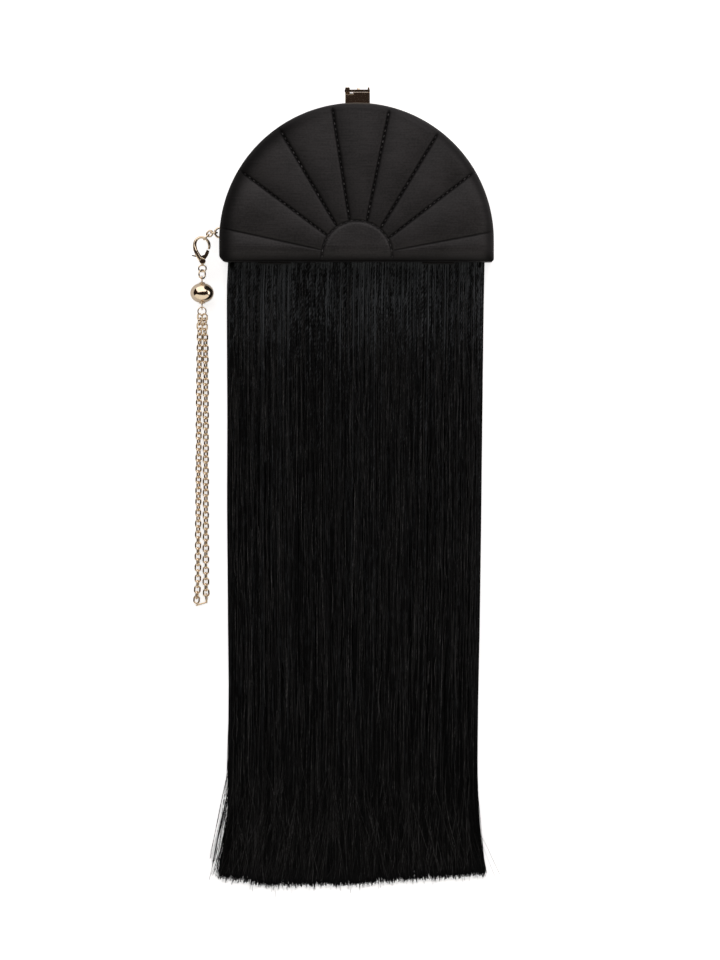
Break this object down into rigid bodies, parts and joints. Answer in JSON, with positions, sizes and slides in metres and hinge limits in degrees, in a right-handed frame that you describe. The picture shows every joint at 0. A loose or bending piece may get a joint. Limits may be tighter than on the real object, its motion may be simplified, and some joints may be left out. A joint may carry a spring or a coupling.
{
  "type": "fringed tassel clutch bag",
  "caption": "Half-moon box clutch in quilted black satin with a long hanging fringe, a top catch and a gold wrist chain; its front half opens on hinges at the bottom.",
  "frame": {"origin": "middle of the head's arc on the flat back panel, which lies on the surface", "axes": "+X to the right seen from the front, +Y from the fringe towards the catch, +Z out of the quilted front"},
  "size_m": [0.2221, 0.5858, 0.0399],
  "materials": {
    "satin": "black satin glued over a hard box, soft sheen",
    "quilted_satin": "black satin, padded and stitched, soft sheen",
    "fringe_yarn": "black twisted yarn, slightly glossy, frayed at its ends",
    "hinge_metal": "black lacquered metal",
    "gold": "polished pale gold plating"
  },
  "bodies": {
    "back_half": {"back_shell": "satin", "fringe": "fringe_yarn", "hinge_back_left": "hinge_metal", "hinge_back_right": "hinge_metal", "hinge_pin_left": "hinge_metal", "hinge_pin_right": "hinge_metal", "catch_base": "gold", "catch_pin": "gold", "chain_eye": "gold", "link_a": "gold", "link_b": "gold", "link_c": "gold", "hook_body": "gold", "hook_rivet": "gold", "hook_swivel": "gold", "jump_ring": "gold", "bead": "gold", "bead_pin": "gold", "bead_cap_top": "gold", "bead_cap_bottom": "gold", "chain_ring": "gold", "strand_left": "gold", "strand_right": "gold", "end_link": "gold"},
    "front_half": {"front_shell": "satin", "quilted_panel": "quilted_satin", "hinge_front_left": "hinge_metal", "hinge_front_right": "hinge_metal", "catch_block": "gold"},
    "catch_bar": {"catch_bar": "gold"},
    "hook_gate": {"hook_gate": "gold"}
  },
  "joints": [
    {"name": "front_half_hinge", "type": "hinge", "parent": "back_half", "child": "front_half", "pos_m": [0, -0.016, 0.02], "axis": [1, 0, 0], "range_deg": [0, 80]},
    {"name": "catch_bar_pivot", "type": "hinge", "parent": "back_half", "child": "catch_bar", "pos_m": [0.00165, 0.1097, 0.01485], "axis": [-1, 0, 0], "range_deg": [0, 75]},
    {"name": "hook_gate_pivot", "type": "hinge", "parent": "back_half", "child": "hook_gate", "pos_m": [-0.1135, -0.0127, 0.00875], "axis": [0, 0, 1], "range_deg": [0, 30], "stiffness_Nm_per_rad": 0.01, "springref_deg": -11.46}
  ]
}
